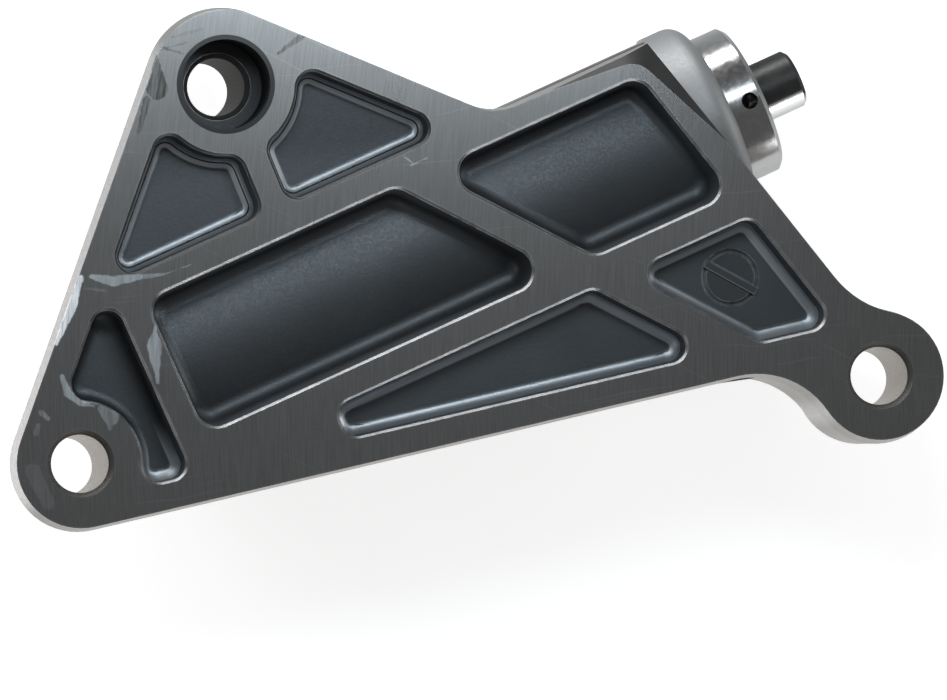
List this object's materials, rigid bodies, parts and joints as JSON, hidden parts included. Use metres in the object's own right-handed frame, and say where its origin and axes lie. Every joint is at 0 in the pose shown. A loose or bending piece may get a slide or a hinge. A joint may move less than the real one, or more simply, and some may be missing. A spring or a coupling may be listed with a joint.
{
  "type": "timing belt tensioner",
  "caption": "Hydraulic timing belt tensioner: cast triangular bracket with bolt bosses and ribbed pockets, carrying an oil cylinder whose rod pushes out through a steel collar.",
  "frame": {"origin": "axis of the lower left bolt hole, in the plane of that boss's back mounting face", "axes": "+X from the lower left bolt hole to the lower right one, +Y up the front face towards the upper bolt hole, +Z out of the machined front face"},
  "size_m": [0.1475, 0.0785, 0.036],
  "materials": {
    "cast_aluminium": "die cast, front face milled, boss end blasted",
    "collar_steel": "turned and polished",
    "rod_steel": "hardened and ground",
    "spring_steel": "drawn wire and strip",
    "pressed_steel": "pressed sheet",
    "inner_steel": "honed",
    "ball_steel": "polished",
    "bush_bronze": "sintered bronze",
    "seal_rubber": "moulded rubber",
    "wear_plastic": "filled PTFE"
  },
  "bodies": {
    "bracket": {"housing": "cast_aluminium", "guide_collar": "collar_steel", "collar_lock_ring": "spring_steel", "collar_o_ring": "seal_rubber", "rod_bush": "bush_bronze", "oil_seal_case": "pressed_steel", "oil_seal_lip": "seal_rubber", "seal_garter_spring": "spring_steel", "seal_washer": "pressed_steel", "retaining_ring": "spring_steel", "pressure_sleeve": "inner_steel", "spring_seat": "pressed_steel", "return_spring": "spring_steel"},
    "rod": {"push_rod": "rod_steel", "wear_ring": "wear_plastic", "plunger": "inner_steel", "check_valve_seat": "inner_steel", "check_ball_cage": "pressed_steel", "check_ball_spring": "spring_steel"},
    "ball": {"check_ball": "ball_steel"}
  },
  "joints": [
    {"name": "rod_slide", "type": "slide", "parent": "bracket", "child": "rod", "axis": [0.9508, 0.3098, 0], "range_m": [0, 0.008], "deforming": ["return_spring"]},
    {"name": "check_ball_lift", "type": "slide", "parent": "rod", "child": "ball", "axis": [-0.9508, -0.3098, 0], "range_m": [0, 0.0006], "deforming": ["check_ball_spring"]}
  ]
}
